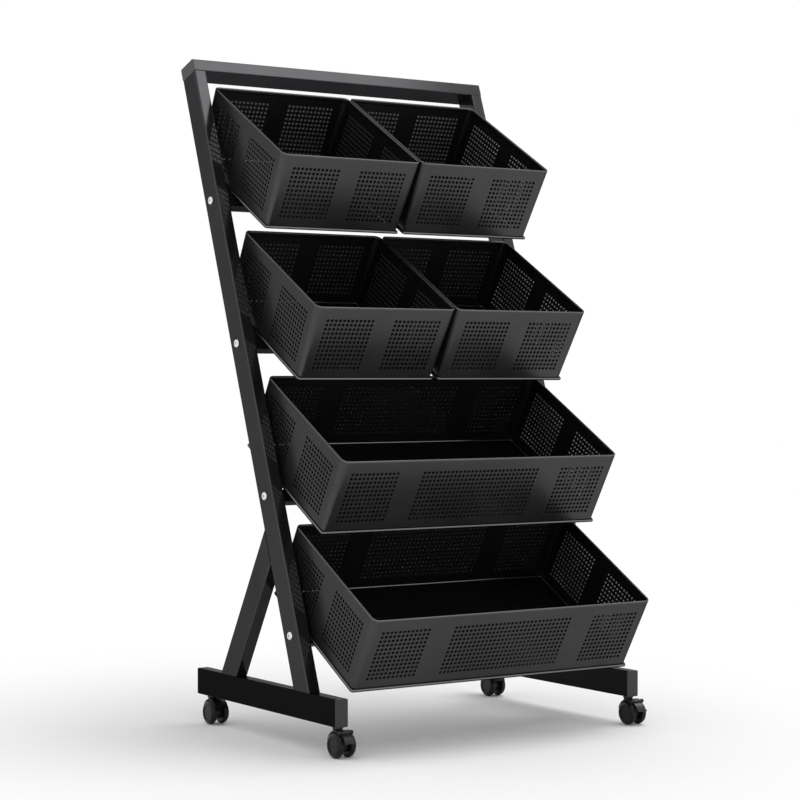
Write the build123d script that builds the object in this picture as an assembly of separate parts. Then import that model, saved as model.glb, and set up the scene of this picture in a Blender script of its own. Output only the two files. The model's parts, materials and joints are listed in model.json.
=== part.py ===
from build123d import *
from math import cos, radians, sin
import os

# Tube frame, in millimetres and degrees
rack_width = 550.0  # over the outer faces of the posts
tube_width = 20.0  # sideways size of feet, posts and struts, and the top bar's height
tube_depth = 40.0  # the tube's larger side
tube_wall = 1.5
tube_edge = 2.0  # outer edge radius of every tube
foot_front = 73.0  # foot ahead of the post's front face
foot_rear = 330.0  # foot behind the post's front face
post_lean = 20.0  # backwards from upright
post_length = 988.0  # along the post's front face
strut_lean = 30.0  # forwards from upright
strut_front = 210.0  # strut's front face behind the post's, along the foot
cap_head = 1.5
cap_spigot_gap = 0.5  # spigot to the nearest screw, stem or block
cap_wall = 2.0
cap_clearance = 0.1
plug_length = 14.0

# Cross rails, as heights along the posts' front faces
rail_side = 20.0
top_rail_height = 773.1
second_rail_height = 538.9
third_rail_height = 298.3
bottom_rail_height = 86.5
bottom_rail_back = 16.8  # the lowest rail behind the line of the others
end_plate = 3.0
rail_screw_rise = 3.1  # screws above the rail's middle

# Screws and holes
frame_screw = 6.0
frame_screw_head = 12.5
frame_screw_head_height = 3.5
frame_screw_socket = 4.0
frame_screw_short = 1.0  # screw end inside its tapped plate or plug
bracket_screw = 5.0
bracket_screw_head = 9.5
bracket_screw_head_height = 2.75
bracket_screw_socket = 3.0
bracket_screw_length = 10.0
socket_depth_share = 0.55  # of the head's height
head_round_share = 0.7  # of the head's height
hole_clearance = 0.3
thread_clearance = 0.05

# Baskets
basket_tilt = 30.0  # the floor falls towards the front
basket_height = 122.0  # from under the floor to the rim
basket_rim_depth = 246.0
basket_base_depth = 242.0
basket_wall = 1.0
basket_base_corner = 5.0
basket_rim_corner = 10.5
small_side_gap = 7.0  # rim to post
small_middle_gap = 2.0  # between two small rims
small_flare = 6.0  # rim beyond base at each side
wide_flare = 2.0
lip_overhang = 3.0  # floor's edge beyond the wall
lip_gap = 1.0  # wide floor's edge to rail end plate
lip_height = 4.2  # doubled edge of the floor sheet
lip_inside = 3.0  # doubled edge inside the wall
lip_flat = 0.1  # left flat between a rounded upper edge and the wall
lip_under_edge = 0.9  # lower edge radius of the doubled edge
lip_corner = 5.0  # corner radius round the doubled edge
floor_sheet = 1.0
top_basket_ahead = -4.9  # floor's middle ahead of its rail
second_basket_ahead = 11.1
third_basket_ahead = 1.6
bottom_basket_ahead = 27.7

# Brackets under the baskets
bracket_sheet = 2.0
bracket_width = 30.0
bracket_floor_reach = 45.0
bracket_rail_reach = 17.0
bracket_cheek_reach = 17.0  # side cheeks, back along the rail's top
small_bracket_spread = 208.0  # between the two brackets of a small basket
wide_bracket_spread = 180.0  # between neighbours of a wide basket's three

# Casters
caster_height = 42.5  # floor to the foot's underside
caster_front = 11.0  # front stems behind the foot's front end
caster_rear = 30.0  # rear stems ahead of the foot's rear end
caster_trail = 10.0  # axle behind the stem
wheel_diameter = 36.0
wheel_width = 9.5
wheel_outer_round = 5.5
wheel_inner_round = 3.0
wheel_dish = 0.8
wheel_rim = 7.5  # from the tread in to the dish
wheel_side_gap = 0.5  # wheel to hood
wheel_skin = 2.0  # wheel left outside the blind bore
axle_diameter = 5.0
axle_end_gap = 0.4
running_clearance = 0.05
press_clearance = 0.01
hood_web = 11.0
hood_web_radius = 10.0
hood_width = 22.0
hood_gap = 1.0  # wheel tread to hood
hood_sheet = 2.0
hood_front_angle = 25.0  # fender's end over the wheel, above level
hood_lever_angle = 60.0  # fender's end where a lever carries on
hood_rear_angle = 165.0
neck_diameter = 14.0
collar_diameter = 16.0
collar_height = 2.0
collar_gap = 0.3
stem_diameter = 8.0
stem_length = 12.0
pin_diameter = 5.0
pin_length = 12.0
pin_end_gap = 0.5
nut_block_width = 16.0
nut_block_length = 14.0
nut_block_height = 10.0

# Brake levers
lever_width = 16.0
lever_sheet = 1.8
lever_gap = 0.6  # pressed lever to wheel tread
lever_side_gap = 0.4
lever_start_gap = 3.0  # degrees from the fender's end to the blade
lever_end_angle = 6.0
lever_pedal = 2.5
lever_pedal_angle = 6.0
lever_knuckle_radius = 2.4
lever_knuckle_gap = 0.5
lever_pin_radius = 1.2
lever_ear_radius = 3.0
lever_lift = 10.0  # at rest, up from pressed

# Positions worked out from the sizes above
lean = radians(post_lean)
tilt = radians(basket_tilt)
strut_angle = radians(strut_lean)
post_up = Vector(0, sin(lean), cos(lean))
post_front = Vector(0, -cos(lean), sin(lean))
floor_front = Vector(0, -cos(tilt), -sin(tilt))
floor_up = Vector(0, -sin(tilt), cos(tilt))
strut_up = Vector(0, -sin(strut_angle), cos(strut_angle))
strut_back = Vector(0, cos(strut_angle), sin(strut_angle))
right = Vector(1, 0, 0)
foot_top = caster_height + tube_depth
half_width = rack_width / 2
column_x = half_width - tube_width / 2
inner_x = half_width - tube_width
rail_half = inner_x - end_plate
post_middle = -tube_depth / 2
rail_rows = (
    (top_rail_height, 0.0),
    (second_rail_height, 0.0),
    (third_rail_height, 0.0),
    (bottom_rail_height, bottom_rail_back),
)
screw_heights = [height + rail_screw_rise for height, back in rail_rows]
small_rim = inner_x - small_side_gap - small_middle_gap / 2
small_base = small_rim - 2 * small_flare
small_x = (small_rim + small_middle_gap) / 2
wide_base = 2 * (rail_half - lip_gap - lip_overhang)
wide_rim = wide_base + 2 * wide_flare
lip_edge = min(lip_overhang, lip_inside, lip_height - floor_sheet, lip_height - lip_under_edge) - lip_flat
wheel_radius = wheel_diameter / 2
axle_radius = axle_diameter / 2
axle_drop = caster_height - wheel_radius
well_radius = wheel_radius + hood_gap
fender_radius = well_radius + hood_sheet
wheel_inner_x = hood_web / 2 + wheel_side_gap
stem_places = (-foot_front + caster_front, foot_rear - caster_rear)
cap_spigot = tube_width / 2 - frame_screw / 2 - cap_head - cap_spigot_gap
foot_spigot_cut = max(tube_wall + nut_block_height, stem_length) + cap_spigot_gap
low_align = (Align.CENTER, Align.CENTER, Align.MIN)
high_align = (Align.CENTER, Align.CENTER, Align.MAX)


# Point at a height along the post's front face, and ahead of it
def on_post(x, along, ahead):
    return Vector(x, 0, foot_top) + post_up * along + post_front * ahead


# Point from a rail's middle, up along the post and ahead; a rail is its height and how far back it lies
def on_rail(x, row, rise, ahead):
    height, back = row
    return on_post(x, height + rise, post_middle - back + ahead)


# Hollow rectangular tube along its own Z
def tube(across, deep, length):
    bore = Rectangle(across - 2 * tube_wall, deep - 2 * tube_wall)
    return extrude(RectangleRounded(across, deep, tube_edge) - bore, length)


# Round bar from a point along a direction
def rod(start, direction, radius, length):
    return extrude(Plane(origin=start, z_dir=direction) * Circle(radius), length)


# Round bar across the caster, centred on a point of its side view
def cross_bar(radius, length, y, z):
    return Pos(0, y, z) * Rot(0, 90, 0) * Cylinder(radius, length)


# Side outline of (y, z) points made thick both ways from a place across
def side_sheet(points, x, thickness):
    outline = Plane(origin=(x, 0, 0), x_dir=(0, 1, 0), z_dir=(1, 0, 0)) * Polygon(*points, align=None)
    return extrude(outline, thickness / 2, both=True)


# Several pieces as one group of separate solids
def group(pieces):
    return Compound([solid for piece in pieces for solid in piece.solids()])


# Button-head screw: head above its own Z = 0, shank below
def button_screw(diameter, length, head, head_height, socket):
    top = Cylinder(head / 2, head_height, align=low_align)
    top = fillet(top.edges().sort_by(Axis.Z)[-1], head_height * head_round_share)
    hexagon = RegularPolygon(socket / 2, 6, major_radius=False)
    key = Pos(0, 0, head_height) * extrude(hexagon, -head_height * socket_depth_share)
    return top - key + Cylinder(diameter / 2, length, align=high_align)


# Tube end cap: flat head above its own Z = 0, hollow spigot below, cut away from one end of its Y
def end_cap(cut):
    inset = 2 * (tube_wall + cap_clearance)
    spigot = Rectangle(tube_width - inset, tube_depth - inset)
    spigot -= Rectangle(tube_width - inset - 2 * cap_wall, tube_depth - inset - 2 * cap_wall)
    spigot -= Pos(0, cut - tube_depth) * Rectangle(tube_width, tube_depth)
    return extrude(RectangleRounded(tube_width, tube_depth, tube_edge), cap_head) + extrude(spigot, -cap_spigot)


# Foot tube with a stem hole over each caster
def foot(side):
    start = (side * column_x, cap_head - foot_front, caster_height + tube_depth / 2)
    body = Plane(origin=start, x_dir=(1, 0, 0), z_dir=(0, 1, 0))
    body = body * tube(tube_width, tube_depth, foot_front + foot_rear - 2 * cap_head)
    for y in stem_places:
        hole_start = (side * column_x, y, caster_height)
        body -= rod(hole_start, (0, 0, 1), stem_diameter / 2 + hole_clearance, 2 * tube_wall)
    return body


# Caps in both ends of both feet
def foot_caps():
    caps = []
    for side in (-1, 1):
        for y, out in ((cap_head - foot_front, -1), (foot_rear - cap_head, 1)):
            place = Plane((side * column_x, y, foot_top - tube_depth / 2), x_dir=(-out, 0, 0), z_dir=(0, out, 0))
            caps.append(place * end_cap(foot_spigot_cut))
    return group(caps)


# Leaning post, cut level on the foot, with screw holes through both side walls
def post(side):
    start = on_post(side * column_x, -tube_depth, post_middle)
    body = Plane(origin=start, x_dir=(1, 0, 0), z_dir=post_up)
    body = body * tube(tube_width, tube_depth, post_length + tube_depth)
    body = split(body, bisect_by=Plane(origin=(0, 0, foot_top)), keep=Keep.TOP)
    for height in screw_heights:
        hole_start = on_post(side * half_width, height, post_middle)
        body -= rod(hole_start, (-side, 0, 0), frame_screw / 2 + hole_clearance, tube_width)
    return body


# Strut leaning forwards, cut level on the foot and flush against the post's back
def strut(side):
    blank = foot_rear + tube_depth
    start = Vector(side * column_x, strut_front, foot_top) + strut_back * (tube_depth / 2) - strut_up * tube_depth
    body = Plane(origin=start, x_dir=(1, 0, 0), z_dir=strut_up) * tube(tube_width, tube_depth, blank)
    body = split(body, bisect_by=Plane(origin=(0, 0, foot_top)), keep=Keep.TOP)
    post_back = Plane(origin=on_post(0, 0, -tube_depth), z_dir=-post_front)
    return split(body, bisect_by=post_back, keep=Keep.TOP)


# Top bar lying across the post tops
def top_bar():
    start = on_post(cap_head - half_width, post_length + tube_width / 2, post_middle)
    body = Plane(origin=start, x_dir=post_up, z_dir=right) * tube(tube_width, tube_depth, rack_width - 2 * cap_head)
    for side in (-1, 1):
        hole_start = on_post(side * column_x, post_length, post_middle)
        body -= rod(hole_start, post_up, frame_screw / 2 + hole_clearance, tube_width)
    return body


# Caps in the top bar's ends
def top_bar_caps():
    caps = []
    for side in (-1, 1):
        seat = on_post(side * (half_width - cap_head), post_length + tube_width / 2, post_middle)
        caps.append(Plane(seat, x_dir=post_up, z_dir=(side, 0, 0)) * end_cap(0))
    return group(caps)


# Tapped plugs welded into the post tops
def post_plugs():
    plugs = []
    section = Rectangle(tube_width - 2 * tube_wall, tube_depth - 2 * tube_wall)
    section -= Circle(frame_screw / 2 + thread_clearance)
    for side in (-1, 1):
        seat = on_post(side * column_x, post_length, post_middle)
        plugs.append(Plane(seat, x_dir=(1, 0, 0), z_dir=post_up) * extrude(section, -plug_length))
    return group(plugs)


# Screws down through the top bar into the plugs
def top_bar_screws():
    length = tube_width + plug_length - frame_screw_short
    screw = button_screw(
        frame_screw, length, frame_screw_head, frame_screw_head_height, frame_screw_socket
    )
    seats = [on_post(side * column_x, post_length + tube_width, post_middle) for side in (-1, 1)]
    return group([Plane(seat, x_dir=(1, 0, 0), z_dir=post_up) * screw for seat in seats])


# Square cross rail, with a hole in its front wall for each bracket
def rail(row, bracket_places):
    start = on_rail(-rail_half, row, 0, 0)
    body = Plane(origin=start, x_dir=post_up, z_dir=right) * tube(rail_side, rail_side, 2 * rail_half)
    for x in bracket_places:
        hole_start = on_rail(x, row, 0, rail_side / 2)
        body -= rod(hole_start, -post_front, bracket_screw / 2 + thread_clearance, 2 * tube_wall)
    return body


# Tapped plates on both ends of a rail, reaching from the rail to its screws
def rail_plates(row):
    plates = []
    back = row[1]
    outline = RectangleRounded(rail_side + rail_screw_rise, rail_side + back, tube_edge)
    for side in (-1, 1):
        seat = on_rail(side * rail_half, row, rail_screw_rise / 2, back / 2)
        plate = Plane(origin=seat, x_dir=post_up, z_dir=(side, 0, 0)) * extrude(outline, end_plate)
        hole_start = on_rail(side * rail_half, row, rail_screw_rise, back)
        plate -= rod(hole_start, (side, 0, 0), frame_screw / 2 + thread_clearance, end_plate)
        plates.append(plate)
    return plates


# Screws through the posts into the rail plates
def rail_screws():
    screws = []
    length = tube_width + end_plate - frame_screw_short
    screw = button_screw(
        frame_screw, length, frame_screw_head, frame_screw_head_height, frame_screw_socket
    )
    for side in (-1, 1):
        for height in screw_heights:
            seat = on_post(side * half_width, height, post_middle)
            screws.append(Plane(seat, x_dir=post_up, z_dir=(side, 0, 0)) * screw)
    return group(screws)


# Front top edge of a rail
def rail_edge(x, row):
    return on_rail(x, row, rail_side / 2, rail_side / 2)


# Bent strip under the basket floor and down the rail's front face, with a cheek on the rail at each side
def bracket(x, row):
    edge = rail_edge(0, row)
    bend = edge + (floor_up + post_front) * (bracket_sheet / (1 + floor_up.dot(post_front)))
    rear = edge - floor_front * bracket_floor_reach
    low = edge - post_up * bracket_rail_reach
    outline = (rear, rear + floor_up * bracket_sheet, bend, low + post_front * bracket_sheet, low, edge)
    strip = side_sheet([(point.Y, point.Z) for point in outline], x, bracket_width)
    heel = edge - post_front * bracket_cheek_reach
    crest = edge - floor_front * (bracket_cheek_reach / floor_front.dot(post_front))
    cheek = [(point.Y, point.Z) for point in (edge, heel, crest)]
    inset = (bracket_width - bracket_sheet) / 2
    for cheek_x in (x - inset, x + inset):
        strip += side_sheet(cheek, cheek_x, bracket_sheet)
    hole_start = on_rail(x, row, 0, rail_side / 2)
    return strip - rod(hole_start, post_front, bracket_screw / 2 + hole_clearance, 2 * bracket_sheet)


# Screw through a bracket into the rail's front wall
def bracket_fixing(x, row):
    screw = button_screw(
        bracket_screw,
        bracket_screw_length,
        bracket_screw_head,
        bracket_screw_head_height,
        bracket_screw_socket,
    )
    seat = on_rail(x, row, 0, rail_side / 2 + bracket_sheet)
    return Plane(seat, x_dir=(1, 0, 0), z_dir=post_front) * screw


# Plane under a basket's floor: X across, Y back up the slope
def basket_place(x, row, ahead):
    middle = rail_edge(x, row) + floor_up * bracket_sheet + floor_front * ahead
    return Plane(origin=middle, x_dir=(1, 0, 0), z_dir=floor_up)


# Solid between a rounded base outline and a rounded rim outline
def basket_block(base, rim, inset):
    base_outline = RectangleRounded(base - 2 * inset, basket_base_depth - 2 * inset, basket_base_corner - inset)
    rim_outline = RectangleRounded(rim - 2 * inset, basket_rim_depth - 2 * inset, basket_rim_corner - inset)
    return loft([Pos(0, 0, lip_height) * base_outline, Pos(0, 0, basket_height) * rim_outline], ruled=True)


# Wall sheet that wraps round the basket
def basket_side(base, rim):
    return basket_block(base, rim, 0) - basket_block(base, rim, basket_wall)


# Floor sheet with a doubled, rounded edge that stands out as a lip and carries the wall
def basket_floor(base):
    lip = 2 * lip_overhang
    edge = RectangleRounded(base + lip, basket_base_depth + lip, lip_corner)
    inset = basket_wall + lip_inside
    middle = RectangleRounded(base - 2 * inset, basket_base_depth - 2 * inset, basket_base_corner - inset)
    sheet = extrude(edge, lip_height) - Pos(0, 0, floor_sheet) * extrude(middle, lip_height)
    sheet = fillet(sheet.faces().sort_by(Axis.Z)[-1].edges(), lip_edge)
    return fillet(sheet.faces().sort_by(Axis.Z)[0].edges(), lip_under_edge)


# Caster stem: threaded end in the foot, plain pin through the collar into the hood
def caster_stem():
    thread = Cylinder(stem_diameter / 2, stem_length, align=low_align)
    return thread + Cylinder(pin_diameter / 2, collar_height + pin_length, align=high_align)


# Ring pressed on the pin, under the foot
def stem_collar():
    ring = Cylinder(collar_diameter / 2, collar_height, align=high_align)
    return ring - Cylinder(pin_diameter / 2 + press_clearance, collar_height, align=high_align)


# Tapped block in the foot over a caster
def nut_block():
    block = extrude(Rectangle(nut_block_width, nut_block_length), nut_block_height)
    block -= Cylinder(stem_diameter / 2 + thread_clearance, nut_block_height, align=low_align)
    return Pos(0, 0, tube_wall) * block


# Side-view point round the wheel's centre
def round_wheel(radius, angle):
    turn = radians(angle)
    return (caster_trail + radius * cos(turn), radius * sin(turn) - axle_drop)


# Side-view wedge from the wheel's centre between two angles
def wheel_wedge(start, end, thickness):
    reach = 3 * fender_radius
    middle = (start + end) / 2
    corners = [round_wheel(0, 0)] + [round_wheel(reach, angle) for angle in (start, middle, end)]
    return side_sheet(corners, 0, thickness)


# Lever pivot in the side view, on the fender's end
def lever_pivot():
    return round_wheel(wheel_radius + lever_ear_radius + lever_gap, hood_lever_angle)


# Caster hood: neck, fender over the treads and a web between the wheels
def caster_hood(has_lever):
    start = hood_lever_angle if has_lever else hood_front_angle
    wedge = wheel_wedge(start, hood_rear_angle, 2 * hood_width)
    neck_top = collar_height + collar_gap
    hood = cross_bar(fender_radius, hood_width, caster_trail, -axle_drop) & wedge
    hood += Pos(0, 0, -neck_top) * Cylinder(neck_diameter / 2, axle_drop - neck_top, align=high_align)
    pivot_y, pivot_z = lever_pivot()
    if has_lever:
        hood += cross_bar(lever_ear_radius, hood_width, pivot_y, pivot_z)
        slot = lever_width + 2 * lever_side_gap
        hood -= cross_bar(lever_ear_radius + lever_knuckle_gap, slot, pivot_y, pivot_z)
        hood -= cross_bar(lever_pin_radius + running_clearance, hood_width, pivot_y, pivot_z)
    hood -= cross_bar(well_radius, 2 * hood_width, caster_trail, -axle_drop)
    hood += cross_bar(well_radius, hood_web, caster_trail, -axle_drop) & wedge
    hood += cross_bar(hood_web_radius, hood_web, caster_trail, -axle_drop)
    hood -= cross_bar(axle_radius + press_clearance, hood_web, caster_trail, -axle_drop)
    bore_depth = pin_length + pin_end_gap - collar_gap
    bore = Cylinder(pin_diameter / 2 + running_clearance, bore_depth, align=high_align)
    return hood - Pos(0, 0, -neck_top) * bore


# Axle through the hood's web into both wheels
def caster_axle():
    length = 2 * (wheel_inner_x + wheel_width - wheel_skin - axle_end_gap)
    return cross_bar(axle_radius, length, caster_trail, -axle_drop)


# Wheel on one side of the hood, dished outside, with a blind bore inside
def caster_wheel(side):
    disc = Cylinder(wheel_radius, wheel_width, align=low_align)
    disc = fillet(disc.edges().sort_by(Axis.Z)[-1], wheel_outer_round)
    disc = fillet(disc.edges().sort_by(Axis.Z)[0], wheel_inner_round)
    disc -= Pos(0, 0, wheel_width) * Cylinder(wheel_radius - wheel_rim, wheel_dish, align=high_align)
    disc -= Cylinder(axle_radius + running_clearance, wheel_width - wheel_skin, align=low_align)
    return Pos(side * wheel_inner_x, caster_trail, -axle_drop) * Rot(0, side * 90, 0) * disc


# Brake lever: knuckle and pin on the fender's end, curved blade over the treads, pedal at its foot
def brake_lever():
    pivot_y, pivot_z = lever_pivot()
    inner = wheel_radius + lever_gap
    wedge = wheel_wedge(lever_end_angle, hood_lever_angle - lever_start_gap, 2 * lever_width)
    blade = cross_bar(inner + lever_sheet, lever_width, caster_trail, -axle_drop) & wedge
    blade -= cross_bar(inner, 2 * lever_width, caster_trail, -axle_drop)
    outer = inner + lever_sheet + lever_pedal
    pedal_end = lever_end_angle + lever_pedal_angle
    corners = [round_wheel(r, a) for r, a in (
        (inner + lever_sheet / 2, lever_end_angle),
        (outer, lever_end_angle),
        (outer, pedal_end),
        (inner + lever_sheet / 2, pedal_end),
    )]
    lever = blade + side_sheet(corners, 0, lever_width)
    lever += cross_bar(lever_knuckle_radius, lever_width, pivot_y, pivot_z)
    lever += cross_bar(lever_pin_radius, hood_width, pivot_y, pivot_z)
    return Pos(0, pivot_y, pivot_z) * Rot(lever_lift, 0, 0) * Pos(0, -pivot_y, -pivot_z) * lever


# Nodes of the fixed frame
small_places = (-small_x, small_x)
small_offsets = (-small_bracket_spread / 2, small_bracket_spread / 2)
small_brackets = [x + offset for x in small_places for offset in small_offsets]
wide_brackets = [-wide_bracket_spread, 0.0, wide_bracket_spread]
tier_brackets = (small_brackets, small_brackets, wide_brackets, wide_brackets)
bracket_seats = [(x, row) for places, row in zip(tier_brackets, rail_rows) for x in places]
nodes = {
    "left_foot": foot(-1),
    "right_foot": foot(1),
    "foot_end_caps": foot_caps(),
    "left_post": post(-1),
    "right_post": post(1),
    "left_strut": strut(-1),
    "right_strut": strut(1),
    "top_bar": top_bar(),
    "top_bar_end_caps": top_bar_caps(),
    "post_top_plugs": post_plugs(),
    "top_bar_screws": top_bar_screws(),
    "rail_end_plates": group([plate for row in rail_rows[:3] for plate in rail_plates(row)]),
    "bottom_rail_ear_plates": group(rail_plates(rail_rows[3])),
    "rail_screws": rail_screws(),
    "basket_brackets": group([bracket(x, row) for x, row in bracket_seats]),
    "bracket_screws": group([bracket_fixing(x, row) for x, row in bracket_seats]),
}
for name, row, places in zip(("top", "second", "third", "bottom"), rail_rows, tier_brackets):
    nodes[name + "_rail"] = rail(row, places)

# Nodes of the baskets
for name, row, ahead in (
    ("top", rail_rows[0], top_basket_ahead),
    ("second", rail_rows[1], second_basket_ahead),
):
    for side_name, x in zip(("left", "right"), small_places):
        place = basket_place(x, row, ahead)
        nodes[f"{name}_{side_name}_basket_wall"] = place * basket_side(small_base, small_rim)
        nodes[f"{name}_{side_name}_basket_floor"] = place * basket_floor(small_base)
for name, row, ahead in (
    ("third", rail_rows[2], third_basket_ahead),
    ("bottom", rail_rows[3], bottom_basket_ahead),
):
    place = basket_place(0, row, ahead)
    nodes[f"{name}_basket_wall"] = place * basket_side(wide_base, wide_rim)
    nodes[f"{name}_basket_floor"] = place * basket_floor(wide_base)

# Nodes of the casters: all trail forwards, and the front ones carry the levers
stems = []
collars = []
blocks = []
for side_name, x in (("left", -column_x), ("right", column_x)):
    for end_name, y in zip(("front", "rear"), stem_places):
        name = f"{end_name}_{side_name}"
        place = Pos(x, y, caster_height) * Rot(0, 0, 180)
        has_lever = end_name == "front"
        stems.append(place * caster_stem())
        collars.append(place * stem_collar())
        blocks.append(place * nut_block())
        nodes[name + "_caster_hood"] = place * caster_hood(has_lever)
        nodes[name + "_caster_axle"] = place * caster_axle()
        for wheel_name, side in (("outer", -1), ("inner", 1)):
            hand = side if x > 0 else -side
            nodes[f"{name}_{wheel_name}_wheel"] = place * caster_wheel(hand)
        if has_lever:
            nodes[name + "_brake_lever"] = place * brake_lever()
nodes["caster_stems"] = group(stems)
nodes["stem_collars"] = group(collars)
nodes["stem_nut_blocks"] = group(blocks)

# The origin is on the floor under the middle of the rack
middle = group(nodes.values()).bounding_box().center().Y
os.makedirs("parts", exist_ok=True)
for name, shape in nodes.items():
    export_step(Pos(0, -middle, 0) * shape, f"parts/{name}.step")
print(len(nodes), "nodes, depth middle", round(middle, 4))
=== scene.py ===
import json
import math

import bpy
import numpy as np
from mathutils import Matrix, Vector


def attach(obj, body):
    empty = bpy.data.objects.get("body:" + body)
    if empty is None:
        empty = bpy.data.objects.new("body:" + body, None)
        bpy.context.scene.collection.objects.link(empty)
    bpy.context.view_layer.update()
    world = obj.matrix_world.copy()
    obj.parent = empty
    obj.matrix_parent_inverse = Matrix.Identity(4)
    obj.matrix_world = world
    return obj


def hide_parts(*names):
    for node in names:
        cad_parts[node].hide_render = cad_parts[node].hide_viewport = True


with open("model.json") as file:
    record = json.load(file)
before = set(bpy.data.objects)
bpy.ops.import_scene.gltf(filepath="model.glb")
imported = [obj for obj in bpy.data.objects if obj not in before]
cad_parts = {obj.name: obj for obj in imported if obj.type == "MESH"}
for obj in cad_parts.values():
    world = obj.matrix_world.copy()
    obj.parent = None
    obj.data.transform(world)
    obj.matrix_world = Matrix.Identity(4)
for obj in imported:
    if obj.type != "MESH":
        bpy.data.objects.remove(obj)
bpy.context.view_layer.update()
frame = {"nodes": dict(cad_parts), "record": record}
nodes = frame["nodes"]
record = frame["record"]
mounts = {mount["name"]: mount for mount in record["mounts"]}
print("frame loaded:", len(nodes), "nodes")


# one node: settings are the node's own, feeds are values or sockets for its inputs
def put(tree, kind, feeds=None, **settings):
    node = tree.nodes.new(kind)
    for key, value in settings.items():
        setattr(node, key, value)
    for key, value in (feeds or {}).items():
        if isinstance(value, bpy.types.NodeSocket):
            tree.links.new(value, node.inputs[key])
        else:
            node.inputs[key].default_value = value
    return node


# one arithmetic node on two or three terms
def reckon(tree, operation, *terms):
    return put(tree, "ShaderNodeMath", dict(enumerate(terms)), operation=operation).outputs[0]


# soft noise between 0 and 1
def noise(tree, where, scale, detail):
    feeds = {"Vector": where, "Scale": scale, "Detail": detail}
    return put(tree, "ShaderNodeTexNoise", feeds).outputs["Fac"]


# an empty node group with its sockets: the tree, what it is fed and what it gives
def newGroup(name, feeds, results):
    tree = bpy.data.node_groups.new(name, "ShaderNodeTree")
    for label, kind, value in feeds:
        tree.interface.new_socket(name=label, in_out="INPUT", socket_type=kind).default_value = value
    for label, kind in results:
        tree.interface.new_socket(name=label, in_out="OUTPUT", socket_type=kind)
    return tree, tree.nodes.new("NodeGroupInput").outputs, tree.nodes.new("NodeGroupOutput").inputs


skinResults = [("Colour", "NodeSocketColor"), ("Rough", "NodeSocketFloat"), ("Height", "NodeSocketFloat")]


# what every skin gives: the tone times the shade, the gloss plus a share of the swing, and the height
def giveSkin(tree, feed, result, shade, swing, height):
    tint = put(tree, "ShaderNodeHueSaturation", {"Color": feed["Tone"], "Value": shade}).outputs["Color"]
    rough = reckon(tree, "MULTIPLY_ADD", swing, feed["Spread"], feed["Gloss"])
    tree.links.new(tint, result["Colour"])
    tree.links.new(rough, result["Rough"])
    tree.links.new(height, result["Height"])


# powder coat: slow clouds move colour and gloss, a fine orange peel with grit on it makes the height
def powderSkinGroup():
    tree, feed, result = newGroup("powderSkin", [
        ("Tone", "NodeSocketColor", (0.02, 0.02, 0.02, 1)),
        ("Mottle", "NodeSocketFloat", 0.2),
        ("Gloss", "NodeSocketFloat", 0.4),
        ("Spread", "NodeSocketFloat", 0.08),
        ("Peel", "NodeSocketFloat", 600.0),
    ], skinResults)
    where = put(tree, "ShaderNodeTexCoord").outputs["Object"]
    cloud = noise(tree, where, scale=8.0, detail=3.0)
    peel = noise(tree, where, scale=feed["Peel"], detail=1.5)
    grit = noise(tree, where, scale=2600.0, detail=0.0)
    swing = reckon(tree, "SUBTRACT", cloud, 0.5)
    fleck = reckon(tree, "MULTIPLY_ADD", grit, 0.5, swing)
    shade = reckon(tree, "MULTIPLY_ADD", fleck, feed["Mottle"], 1.0)
    height = reckon(tree, "MULTIPLY_ADD", grit, 0.3, peel)
    giveSkin(tree, feed, result, shade, swing, height)
    return tree


# moulded plastic: a fine spark-eroded grain, with faint flow clouds in the gloss
def mouldGrainGroup():
    tree, feed, result = newGroup("mouldGrain", [
        ("Tone", "NodeSocketColor", (0.02, 0.02, 0.02, 1)),
        ("Gloss", "NodeSocketFloat", 0.3),
        ("Spread", "NodeSocketFloat", 0.1),
        ("Grain", "NodeSocketFloat", 1500.0),
    ], skinResults)
    where = put(tree, "ShaderNodeTexCoord").outputs["Object"]
    flow = noise(tree, where, scale=60.0, detail=2.0)
    pit = put(tree, "ShaderNodeTexVoronoi", {"Vector": where, "Scale": feed["Grain"]}).outputs["Distance"]
    swing = reckon(tree, "SUBTRACT", flow, 0.5)
    shade = reckon(tree, "MULTIPLY_ADD", swing, 0.5, 1.0)
    giveSkin(tree, feed, result, shade, swing, pit)
    return tree


# plated steel: drawn streaks along one axis over a cloudy plating
def platedSteelGroup():
    tree, feed, result = newGroup("platedSteel", [
        ("Tone", "NodeSocketColor", (0.7, 0.7, 0.7, 1)),
        ("Gloss", "NodeSocketFloat", 0.25),
        ("Spread", "NodeSocketFloat", 0.15),
        ("Streak", "NodeSocketVector", (900.0, 900.0, 900.0)),
    ], skinResults)
    where = put(tree, "ShaderNodeTexCoord").outputs["Object"]
    drawn = put(tree, "ShaderNodeMapping", {"Vector": where, "Scale": feed["Streak"]}).outputs["Vector"]
    streak = noise(tree, drawn, scale=1.0, detail=2.0)
    cloud = noise(tree, where, scale=120.0, detail=2.0)
    swing = reckon(tree, "SUBTRACT", reckon(tree, "ADD", streak, cloud), 1.0)
    shade = reckon(tree, "MULTIPLY_ADD", swing, 0.3, 1.0)
    giveSkin(tree, feed, result, shade, swing, streak)
    return tree


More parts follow.
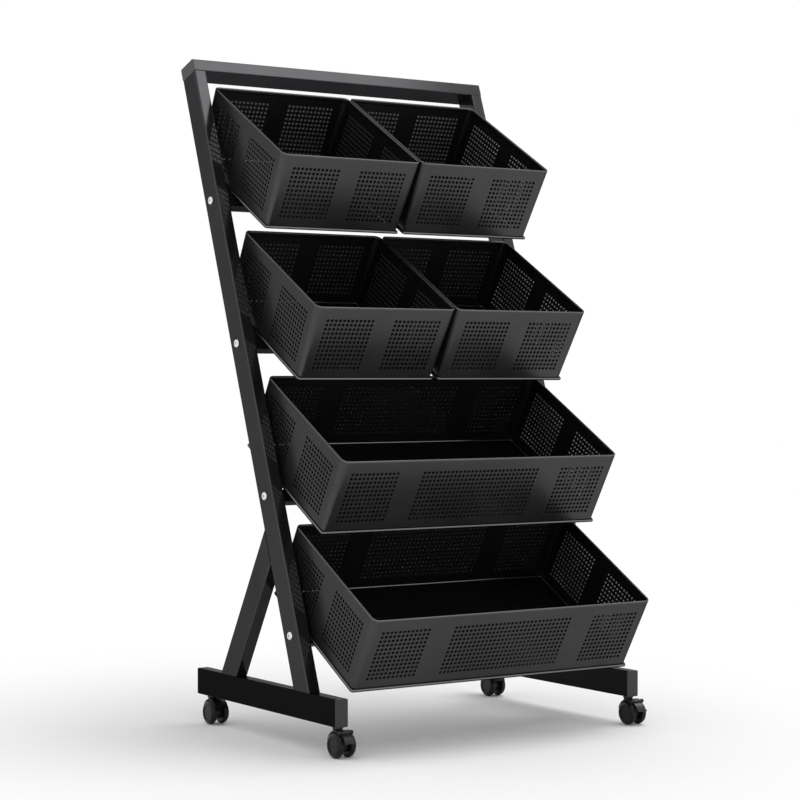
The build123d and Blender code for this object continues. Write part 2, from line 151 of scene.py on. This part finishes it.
# painted highlight and shade on doubled edges: as the face turns away from the floor's axis the tone goes to
# the edge's painted highlight, then to the underside's painted shade
def paintedEdgeLightGroup(axis):
    tree, feed, result = newGroup("paintedEdgeLight", [
        ("Flat", "NodeSocketColor", (0.02, 0.02, 0.02, 1)),
        ("Edge", "NodeSocketColor", (0.04, 0.04, 0.04, 1)),
        ("Under", "NodeSocketColor", (0.01, 0.01, 0.01, 1)),
    ], [("Colour", "NodeSocketColor")])
    facing = put(tree, "ShaderNodeTexCoord").outputs["Normal"]
    along = put(tree, "ShaderNodeVectorMath", {0: facing, 1: axis}, operation="DOT_PRODUCT").outputs["Value"]
    tone = feed["Flat"]
    for label, start, end in (("Edge", 0.84, 0.76), ("Under", 0.4, 0.15)):  # cosines of the turn
        window = {"Value": along, "From Min": start, "From Max": end}
        turned = put(tree, "ShaderNodeMapRange", window).outputs["Result"]
        tones = {"Factor": turned, 6: tone, 7: feed[label]}
        tone = put(tree, "ShaderNodeMix", tones, data_type="RGBA").outputs[2]
    tree.links.new(tone, result["Colour"])
    return tree


powderSkin = powderSkinGroup()
mouldGrain = mouldGrainGroup()
platedSteel = platedSteelGroup()
paintedEdgeLight = paintedEdgeLightGroup(mounts["third_basket_floor"]["axis"])
print("skins:", len(bpy.data.node_groups), "node groups")


# a finish: one of the skins feeds the shader's colour, roughness and bump, the rest is set on the shader
def finishMaterial(name, skin, feeds, bumpDepth, bumpStrength, shaderValues, paintedEdgeTones=None):
    material = bpy.data.materials.new(name)
    material.use_nodes = True
    tree = material.node_tree
    tree.nodes.clear()
    surface = put(tree, "ShaderNodeGroup", feeds, node_tree=skin)
    # painted highlight on a floor's lip and painted shade under it, by the way each face turns
    if paintedEdgeTones:
        tones = {"Flat": feeds["Tone"], **paintedEdgeTones}
        turned = put(tree, "ShaderNodeGroup", tones, node_tree=paintedEdgeLight)
        tree.links.new(turned.outputs["Colour"], surface.inputs["Tone"])
    bump = put(tree, "ShaderNodeBump", {
        "Height": surface.outputs["Height"], "Distance": bumpDepth, "Strength": bumpStrength,
    })
    shader = put(tree, "ShaderNodeBsdfPrincipled", {
        "Base Color": surface.outputs["Colour"],
        "Roughness": surface.outputs["Rough"],
        "Normal": bump.outputs["Normal"],
        **shaderValues,
    })
    put(tree, "ShaderNodeOutputMaterial", {"Surface": shader.outputs["BSDF"]})
    return material


# blue is the blue part against the red and green
def grey(value, blue=1.0):
    return (value, value, value * blue, 1)


coatBlue = 1.04
tubePeel = 640.0  # orange peel on the tubes, in waves a metre, and a finer one on the sheets
sheetPeel = 760.0


# satin powder coat: the powder skin on a nearly metallic base, with its shine at glancing angles held down
def powderCoat(name, tone, gloss, peel, bumpStrength, glance=0.12, spread=0.1, paintedEdgeTones=None):
    feeds = {"Tone": grey(tone, coatBlue), "Mottle": 0.35, "Gloss": gloss, "Spread": spread, "Peel": peel}
    shaderValues = {"Metallic": 0.85, "Specular IOR Level": glance, "Specular Tint": grey(0.22)}
    return finishMaterial(name, powderSkin, feeds, 0.0002, bumpStrength, shaderValues, paintedEdgeTones)


# the cut edge inside a punched hole: the powder skin, dull, in a given tone that paints the light or shade
# in the hole
def boreCoat(name, tone):
    return finishMaterial(
        name, powderSkin,
        {"Tone": grey(tone, 1.03), "Mottle": 0.3, "Gloss": 0.75, "Spread": 0.1, "Peel": sheetPeel},
        bumpDepth=0.0001, bumpStrength=0.1, shaderValues={"IOR": 1.5, "Specular IOR Level": 0.08})


finishes = {
    "frame_coat": powderCoat(
        "satinFrameCoat", tone=0.053, gloss=0.14, peel=tubePeel, bumpStrength=0.05, glance=0.1, spread=0.08),
    "basket_coat": powderCoat(
        "satinBasketCoat", tone=0.060, gloss=0.28, peel=sheetPeel, bumpStrength=0.08),
    "bright_screw": finishMaterial(
        "brightZinc", platedSteel,
        {"Tone": (0.74, 0.75, 0.77, 1), "Gloss": 0.22, "Spread": 0.12, "Streak": (300.0, 2500.0, 2500.0)},
        bumpDepth=0.0001, bumpStrength=0.2, shaderValues={"Metallic": 1.0}),
    "dark_screw": finishMaterial(
        "blackOxide", platedSteel,
        {"Tone": grey(0.03), "Gloss": 0.4, "Spread": 0.15, "Streak": (1500.0, 1500.0, 1500.0)},
        bumpDepth=0.0001, bumpStrength=0.3, shaderValues={"Metallic": 0.6}),
    "cap_plastic": finishMaterial(
        "mattCapPlastic", mouldGrain,
        {"Tone": grey(0.012), "Gloss": 0.42, "Spread": 0.12, "Grain": 1300.0},
        bumpDepth=0.0002, bumpStrength=0.25, shaderValues={"IOR": 1.5, "Specular IOR Level": 0.55}),
    "wheel_plastic": finishMaterial(
        "wheelNylon", mouldGrain,
        {"Tone": grey(0.006), "Gloss": 0.3, "Spread": 0.14, "Grain": 1800.0},
        bumpDepth=0.0001, bumpStrength=0.15, shaderValues={"IOR": 1.53, "Specular IOR Level": 0.2}),
    "hood_plastic": finishMaterial(
        "hoodNylon", mouldGrain,
        {"Tone": grey(0.007), "Gloss": 0.28, "Spread": 0.12, "Grain": 1500.0},
        bumpDepth=0.0001, bumpStrength=0.12, shaderValues={"IOR": 1.53, "Specular IOR Level": 0.2}),
    "lever_plastic": finishMaterial(
        "leverNylon", mouldGrain,
        {"Tone": grey(0.012), "Gloss": 0.3, "Spread": 0.12, "Grain": 1500.0},
        bumpDepth=0.0001, bumpStrength=0.2, shaderValues={"IOR": 1.53, "Specular IOR Level": 0.35}),
    "axle_steel": finishMaterial(
        "plainAxleSteel", platedSteel,
        {"Tone": (0.58, 0.58, 0.59, 1), "Gloss": 0.3, "Spread": 0.15, "Streak": (200.0, 2500.0, 2500.0)},
        bumpDepth=0.0001, bumpStrength=0.2, shaderValues={"Metallic": 1.0}),
    "stem_steel": finishMaterial(
        "blackZincStem", platedSteel,
        {"Tone": grey(0.05), "Gloss": 0.35, "Spread": 0.15, "Streak": (2500.0, 2500.0, 200.0)},
        bumpDepth=0.0001, bumpStrength=0.2, shaderValues={"Metallic": 0.8}),
}
# painted shade: the feet and the insides of the baskets are painted darker, and so are the floors' flat
# faces; painted highlight: a floor's edge is painted paler, and so are the rims
footShadeCoat = powderCoat("satinFootShadeCoat", tone=0.015, gloss=0.28, peel=tubePeel, bumpStrength=0.12, glance=0.1)
# painted shade on the floor's flat face and underside, painted highlight on its lip
floorEdgeHighlightAndUnderShade = {"Edge": grey(0.155, coatBlue), "Under": grey(0.008, coatBlue)}
floorShadeAndHighlightCoat = powderCoat(
    "satinFloorShadeHighlightCoat", tone=0.032, gloss=0.18, peel=sheetPeel, bumpStrength=0.08, paintedEdgeTones=floorEdgeHighlightAndUnderShade)
# painted shade: the inner faces of the walls are painted darker than the outer ones
insideShadeCoat = powderCoat("satinInsideShadeCoat", tone=0.034, gloss=0.28, peel=sheetPeel, bumpStrength=0.08)
# painted highlight: the rims are painted paler than the walls
rimHighlightCoat = powderCoat("satinRimHighlightCoat", tone=0.1, gloss=0.24, peel=sheetPeel, bumpStrength=0.08)
# cut edges are painted paler where more daylight would get in, a painted light: behind the top tier, and at
# the right end of a tier
# painted shade: the plain bores are painted near black
shadedHoleBore = boreCoat("darkShadeHoleBore", 0.003)
rearBoreLightTones = {"top": 0.1, "second": 0.03, "third": 0.012, "bottom": 0.02}
rearBoresPaintedLight = {tier: boreCoat(tier + "RearHoleBorePaintedLight", tone) for tier, tone in rearBoreLightTones.items()}
# painted shade in the right walls' bores beside a neighbour, painted light in those at the rack's open right
# end
paintedShadeRightBore = boreCoat("paintedShadeRightHoleBore", 0.05)
paintedLitRightBore = boreCoat("paintedLitRightHoleBore", 0.22)

ownFinish = {"left_foot": footShadeCoat, "right_foot": footShadeCoat}
ownFinish.update({name: floorShadeAndHighlightCoat for name in nodes if name.endswith("basket_floor")})
for part in record["subparts"]:
    body = nodes[part["node"]]
    finish = ownFinish.get(part["node"], finishes[part["material_slot"]])
    for place in body.material_slots:
        place.material = finish
    if not body.material_slots:
        body.data.materials.append(finish)
print("finishes on:", len(record["subparts"]), "nodes,", len(bpy.data.materials), "materials")


# quads as one array, unused points dropped, into a mesh that rides on a body
def quadPiece(name, points, quads, slot, body, sharpAngle=40):
    used, quads = np.unique(quads, return_inverse=True)
    quads = quads.reshape(-1, 4)
    mesh = bpy.data.meshes.new(name)
    mesh.vertices.add(len(used))
    mesh.vertices.foreach_set("co", points[used].astype(np.float32).ravel())
    mesh.loops.add(quads.size)
    mesh.loops.foreach_set("vertex_index", quads.ravel().astype(np.int32))
    mesh.polygons.add(len(quads))
    mesh.polygons.foreach_set("loop_start", np.arange(0, quads.size, 4, dtype=np.int32))
    mesh.update(calc_edges=True)
    mesh.polygons.foreach_set("use_smooth", np.ones(len(quads), bool))
    mesh.set_sharp_from_angle(angle=math.radians(sharpAngle))
    mesh.validate()
    piece = bpy.data.objects.new(name, mesh)
    bpy.context.scene.collection.objects.link(piece)
    mesh.materials.append(finishes[slot])
    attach(piece, body)
    return piece


# sizes in metres; what is given four times is for the front, right, rear and left walls
basketWall = {
    "floorSheet": 0.001, "floorLip": 0.0042, "height": 0.122,  # a floor mount lies on its sheet
    "sheet": 0.001, "hem": 0.0031, "hemDepth": 0.0075,  # the hem's thickness, and its reach below the rim
    "baseDepth": 0.242, "rimDepth": 0.246, "baseCorner": 0.005, "rimCorner": 0.0105,
    "outerHole": (0.0049, 0.0046, 0.0044, 0.0050),
    "innerHole": (0.0048, 0.0037, 0.0043, 0.0046),
    "waist": (0.0, 0.0006, 0.0002, 0.0),  # the right and rear walls' holes halfway through the sheet
    "columnPitch": 0.0071, "rowPitch": 0.00725, "rows": 12, "topRow": 0.022,
    "sidePanels": (12, 12), "sideGap": 0.041,  # from one panel's last hole to the next one's first
    "cornerSteps": 9, "rimSteps": 6,
}
smallBasket = {"base": 0.235, "rim": 0.247, "panels": (12, 12), "gap": 0.041}
wideBasket = {"base": 0.496, "rim": 0.500, "panels": (12, 30, 12), "gap": 0.047}
baskets = {
    "top_left": smallBasket, "top_right": smallBasket,
    "second_left": smallBasket, "second_right": smallBasket,
    "third": wideBasket, "bottom": wideBasket,
}
rightWall = 1
rearWall = 2
# the border of a cell of three by three steps, walked once round, and the turn of a hole's point beside each
cellAcross = np.array([0, 1, 2, 3, 3, 3, 3, 2, 1, 0, 0, 0])
cellUp = np.array([0, 0, 0, 0, 1, 2, 3, 3, 3, 3, 2, 1])
holeTurn = np.radians(225 + 30 * np.arange(12))


# edges of a side's columns: the panels' own, centred, between the two ends of the straight run
def columnEdges(panels, gap, halfRun):
    pitch = basketWall["columnPitch"]
    span = sum(count - 1 for count in panels) * pitch + (len(panels) - 1) * gap
    starts = np.cumsum([-span / 2] + [(count - 1) * pitch + gap for count in panels[:-1]])
    runs = [start - pitch / 2 + pitch * np.arange(count + 1) for start, count in zip(starts, panels)]
    return np.concatenate([[-halfRun], *runs, [halfRun]])


# which of a side's columns have holes: a blank one first, and one after each panel
def punched(panels):
    return np.concatenate([[False]] + [[True] * count + [False] for count in panels])


# every third of each step, without the last edge
def thirds(edges):
    steps = np.arange(3 * (len(edges) - 1)) / 3
    return np.interp(steps, np.arange(len(edges)), edges)


# rounded rectangle walked once round, each straight run in column thirds and then its corner's arc, with the
# outward way at every point
def basketOutline(width, depth, corner, panels, gap):
    spec = basketWall
    swing = np.radians(-90 + 90 / spec["cornerSteps"] * np.arange(spec["cornerSteps"]))
    ray = np.stack([np.cos(swing), np.sin(swing)], 1)
    points, outward = [], []
    for side in range(4):
        along, out, kind, space = depth / 2, width / 2, spec["sidePanels"], spec["sideGap"]
        if side % 2 == 0:
            along, out, kind, space = width / 2, depth / 2, panels, gap
        run = thirds(columnEdges(kind, space, along - corner))
        flat = np.stack([run, np.full(len(run), -out)], 1)
        bend = np.array([along - corner, corner - out]) + corner * ray
        turn = math.radians(90 * side)
        spin = np.array([[math.cos(turn), math.sin(turn)], [-math.sin(turn), math.cos(turn)]])
        points.append(np.concatenate([flat, bend]) @ spin)
        outward.append(np.concatenate([np.tile([0.0, -1.0], (len(run), 1)), ray]) @ spin)
    return np.concatenate(points), np.concatenate(outward)


# the outline's columns: which have holes, and which wall each is in, a corner being in the wall before it
def wallColumns(panels):
    corner = [False] * (basketWall["cornerSteps"] // 3)
    sides = [punched(panels), corner, punched(basketWall["sidePanels"]), corner] * 2
    return np.concatenate(sides), np.repeat([0, 0, 1, 1, 2, 2, 3, 3], [len(side) for side in sides])


# a wall's rows from the floor's lip up to the rim, in thirds: a blank one, the punched ones, a blank one
# and the hem
def wallRows():
    spec = basketWall
    centres = spec["height"] - spec["topRow"] - spec["rowPitch"] * np.arange(spec["rows"])[::-1]
    rowEdges = np.append(centres[0] - spec["rowPitch"] / 2, centres + spec["rowPitch"] / 2)
    edges = np.concatenate([[spec["floorLip"]], rowEdges, [spec["height"] - spec["hemDepth"]]])
    openRow = np.concatenate([[False], np.ones(spec["rows"], bool), [False, False]])
    rimFoot = spec["height"] - spec["hem"] / 2
    return edges, openRow, np.append(thirds(np.append(edges, rimFoot)), rimFoot)


# points on a wall: from the base line to the rim line in proportion to the height, moved inward
def wallPoints(baseLine, rimLine, inward, height):
    lip = basketWall["floorLip"]
    part = ((height - lip) / (basketWall["height"] - lip))[..., None]
    flat = baseLine + (rimLine - baseLine) * part - inward
    return np.concatenate([flat, height[..., None]], -1)


# the sheet's two faces as grids: the inner one lies a sheet further in, and a hem's thickness on top
def sheetGrids(base, rim, outward, height):
    spec = basketWall
    hemmed = height > spec["height"] - spec["hemDepth"]
    inner = np.where(hemmed, spec["hem"], spec["sheet"])[:, None]
    level = np.tile(height, (len(base), 1))
    lines = base[:, None], rim[:, None]
    return [wallPoints(*lines, outward[:, None] * inset, level) for inset in (0 * inner, inner)]


# rings of twelve points round each hole: at the outer face, halfway through the sheet, and at the inner face
def holeRings(base, rim, outward, edges, column, row, wall):
    spec = basketWall
    across = np.stack([-outward[3 * column, 1], outward[3 * column, 0]], 1)[:, None]
    level = (edges[row] + edges[row + 1])[:, None] / 2
    middles = [(line[3 * column + 1] + line[3 * column + 2])[:, None] / 2 for line in (base, rim)]
    rings = []
    for share, holes in ((0, spec["outerHole"]), (0.5, spec["waist"]), (1, spec["innerHole"])):
        radius = np.array(holes)[wall][:, None] / 2
        reach = (radius * np.cos(holeTurn))[..., None] * across
        lines = [middle + reach for middle in middles]
        inward = outward[3 * column][:, None] * (share * spec["sheet"])
        rings.append(wallPoints(*lines, inward, level + radius * np.sin(holeTurn)))
    return rings


# half-round rim: lines of points over the hem, from the outer face to the inner one
def rimLines(base, rim, outward):
    spec = basketWall
    radius = spec["hem"] / 2
    foot = spec["height"] - radius
    lines = []
    for angle in np.pi * np.arange(1, spec["rimSteps"]) / spec["rimSteps"]:
        level = np.full(len(base), foot + radius * math.sin(angle))
        lines.append(wallPoints(base, rim, outward * radius * (1 - math.cos(angle)), level))
    return lines


# wall sheet: two grids with the punched cells left out, in each of those a band of twelve quads from its
# border to the round hole, bores straight through the sheet, or by way of a narrower waist at the right and
# the rear, a half-round rim on top and a flat edge below
def perforatedWall(name, size, place, rightBore, rearBore):
    spec = basketWall
    panels, gap = size["panels"], size["gap"]
    base, outward = basketOutline(size["base"], spec["baseDepth"], spec["baseCorner"], panels, gap)
    rim = basketOutline(size["rim"], spec["rimDepth"], spec["rimCorner"], panels, gap)[0]
    openColumn, wallOf = wallColumns(panels)
    edges, openRow, height = wallRows()
    cells = np.meshgrid(np.flatnonzero(openColumn), np.flatnonzero(openRow), indexing="ij")
    column, row = [index.ravel() for index in cells]
    wall = wallOf[column]
    blocks = [
        *sheetGrids(base, rim, outward, height),
        *holeRings(base, rim, outward, edges, column, row, wall),
        *rimLines(base, rim, outward),
    ]
    starts = np.cumsum([0] + [block.size // 3 for block in blocks[:-1]])
    gridStarts, ringStarts, archStarts = starts[:2], starts[2:5], starts[5:]
    points = np.concatenate([block.reshape(-1, 3) for block in blocks])
    columns, rows = len(base), len(height)

    # number of a grid's point, with the last column joined to the first
    def grid(layer, across, up):
        return gridStarts[layer] + (across % columns) * rows + up

    a, b = [index.ravel() for index in np.meshgrid(np.arange(columns), np.arange(rows - 1), indexing="ij")]
    plain = ~(openColumn[a // 3] & openRow[b // 3])
    a, b = a[plain], b[plain]
    border = [grid(layer, 3 * column[:, None] + cellAcross, 3 * row[:, None] + cellUp) for layer in (0, 1)]
    ringPoints = np.arange(len(column) * len(holeTurn)).reshape(-1, len(holeTurn))
    ring = [start + ringPoints for start in ringStarts]
    borderNext, ringNext = [[np.roll(block, -1, 1) for block in pair] for pair in (border, ring)]
    faces = [
        ("outside", [grid(0, a, b), grid(0, a + 1, b), grid(0, a + 1, b + 1), grid(0, a, b + 1)]),
        ("inside", [grid(1, a, b), grid(1, a, b + 1), grid(1, a + 1, b + 1), grid(1, a + 1, b)]),
        ("outside", [border[0], borderNext[0], ringNext[0], ring[0]]),
        ("inside", [border[1], ring[2], ringNext[2], borderNext[1]]),
    ]
    right, rear = wall == rightWall, wall == rearWall
    waisted = right | rear
    for coat, start, end, which in (
        ("hole", 0, 2, ~waisted), ("hole", 0, 1, waisted), ("right", 1, 2, right), ("rear", 1, 2, rear),
    ):
        bore = [ring[start], ringNext[start], ringNext[end], ring[end]]
        faces.append((coat, [corner[which] for corner in bore]))
    loop = np.arange(columns)
    outerTop, innerTop = grid(0, loop, rows - 1), grid(1, loop, rows - 1)
    belts = [outerTop, *[start + loop for start in archStarts], innerTop]
    pairs = [("rim", low, high) for low, high in zip(belts, belts[1:])]
    pairs.append(("outside", grid(1, loop, 0), grid(0, loop, 0)))
    faces += [(coat, [low, np.roll(low, -1), np.roll(high, -1), high]) for coat, low, high in pairs]

    axis = np.array(place["axis"])
    back = np.cross(axis, [1, 0, 0])
    origin = np.array(place["pos_m"]) - spec["floorSheet"] * axis
    points = origin + points @ np.stack([[1, 0, 0], back, axis])
    quads = [np.stack(corners, -1).reshape(-1, 4) for coat, corners in faces]
    piece = quadPiece(name, points, np.concatenate(quads), "basket_coat", "frame")
    coats = {"inside": insideShadeCoat, "rim": rimHighlightCoat, "hole": shadedHoleBore, "right": rightBore, "rear": rearBore}
    for coat in coats.values():
        piece.data.materials.append(coat)
    slots = ["outside", *coats]
    coatOf = np.repeat([slots.index(coat) for coat, corners in faces], [len(block) for block in quads])
    piece.data.polygons.foreach_set("material_index", coatOf.astype(np.int32))
    print(name, len(column), "holes,", 2 * len(piece.data.polygons), "triangles")
    return piece


for name, size in baskets.items():
    rightBore = paintedShadeRightBore if name.endswith("_left") else paintedLitRightBore
    rearBore = rearBoresPaintedLight[name.split("_")[0]]
    floorMount = mounts[name + "_basket_floor"]
    wall = perforatedWall(name + "PerforatedWall", size, floorMount, rightBore, rearBore)
    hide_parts(name + "_basket_wall")


paleFloor = {"half": 9.0, "tone": 0.92, "toothTone": 0.01, "fadeFrom": 0.3, "fadeTo": 1.1}


# flat square of paper that fades to plain white away from the rack
def buildFloor():
    half, tone, tooth = paleFloor["half"], paleFloor["tone"], paleFloor["toothTone"]
    mesh = bpy.data.meshes.new("paleFloor")
    corners = [(-half, -half, 0), (half, -half, 0), (half, half, 0), (-half, half, 0)]
    mesh.from_pydata(corners, [], [(0, 1, 2, 3)])
    floor = bpy.data.objects.new("paleFloor", mesh)
    bpy.context.scene.collection.objects.link(floor)
    material = bpy.data.materials.new("paleFloorPaper")
    material.use_nodes = True
    tree = material.node_tree
    tree.nodes.clear()
    where = put(tree, "ShaderNodeTexCoord").outputs["Object"]
    grain = noise(tree, where, scale=35.0, detail=3.0)
    tones = {"Factor": grain, 6: grey(tone - tooth), 7: grey(tone + tooth)}
    paper = put(tree, "ShaderNodeMix", tones, data_type="RGBA").outputs[2]
    sheet = put(tree, "ShaderNodeBsdfPrincipled", {"Base Color": paper, "Roughness": 0.9})
    glow = put(tree, "ShaderNodeEmission", {"Color": (1, 1, 1, 1), "Strength": 1.0})
    far = put(tree, "ShaderNodeVectorMath", {0: where}, operation="LENGTH").outputs["Value"]
    fade = put(tree, "ShaderNodeMapRange", {
        "Value": far, "From Min": paleFloor["fadeFrom"], "From Max": paleFloor["fadeTo"],
    }, interpolation_type="SMOOTHSTEP").outputs["Result"]
    layers = {0: fade, 1: sheet.outputs["BSDF"], 2: glow.outputs["Emission"]}
    blend = put(tree, "ShaderNodeMixShader", layers)
    put(tree, "ShaderNodeOutputMaterial", {"Surface": blend.outputs["Shader"]})
    mesh.materials.append(material)
    print("floor laid")


studioAir = {"forObject": 0.84, "seen": 1.0}


# white all round, a little dimmer as light on the rack than as seen, mirrored or looked through
def buildAir():
    world = bpy.data.worlds.new("studioAir")
    bpy.context.scene.world = world
    world.use_nodes = True
    tree = world.node_tree
    tree.nodes.clear()
    ray = put(tree, "ShaderNodeLightPath").outputs
    seen = reckon(tree, "MAXIMUM", ray["Is Camera Ray"], ray["Is Glossy Ray"])
    seen = reckon(tree, "MAXIMUM", seen, ray["Is Transmission Ray"])
    levels = {"Value": seen, "To Min": studioAir["forObject"], "To Max": studioAir["seen"]}
    level = put(tree, "ShaderNodeMapRange", levels).outputs["Result"]
    air = put(tree, "ShaderNodeBackground", {"Color": (1, 1, 1, 1), "Strength": level})
    put(tree, "ShaderNodeOutputWorld", {"Surface": air.outputs["Background"]})
    print("air set")


studioLamps = {
    "frontRightSoftbox": {"at": (1.0, -1.16, 2.67), "to": (0, 0.2, 1.0), "size": (0.9, 0.7), "watts": 4.8},
    "overheadPanel": {"at": (1.85, -0.2, 3.2), "to": (0.4, -0.2, 0.4), "size": (1.4, 3.0), "watts": 34},
}


# turns an object that looks along its own -Z the given way
def aimAlong(thing, way):
    thing.rotation_euler = way.to_track_quat("-Z", "Y").to_euler()


# rectangles of soft light, each turned to the place it lights
def buildLamps():
    for name, spec in studioLamps.items():
        lamp = bpy.data.lights.new(name, "AREA")
        lamp.shape = "RECTANGLE"
        lamp.size, lamp.size_y = spec["size"]
        lamp.energy = spec["watts"]
        holder = bpy.data.objects.new(name, lamp)
        holder.location = spec["at"]
        aimAlong(holder, Vector(spec["to"]) - Vector(spec["at"]))
        bpy.context.scene.collection.objects.link(holder)
    print("studio:", len(studioLamps), "lamps")


rackCamera = {
    "at": (-1.89842, -2.77656, 0.53600),
    "heading": 33.901,  # degrees from +Y towards +X
    "pitch": -0.632,
    "lens": 97.947, "sensor": 36,  # mm
}


# looks along the heading, tipped by the pitch
def buildCamera():
    lens = bpy.data.cameras.new("rackCamera")
    lens.sensor_width = rackCamera["sensor"]
    lens.lens = rackCamera["lens"]
    camera = bpy.data.objects.new("rackCamera", lens)
    heading, pitch = math.radians(rackCamera["heading"]), math.radians(rackCamera["pitch"])
    level = math.cos(pitch)
    camera.location = rackCamera["at"]
    aimAlong(camera, Vector((math.sin(heading) * level, math.cos(heading) * level, math.sin(pitch))))
    bpy.context.scene.collection.objects.link(camera)
    bpy.context.scene.camera = camera
    print("camera set")


buildFloor()
buildAir()
buildLamps()
buildCamera()
bpy.context.scene.view_settings.view_transform = "Standard"
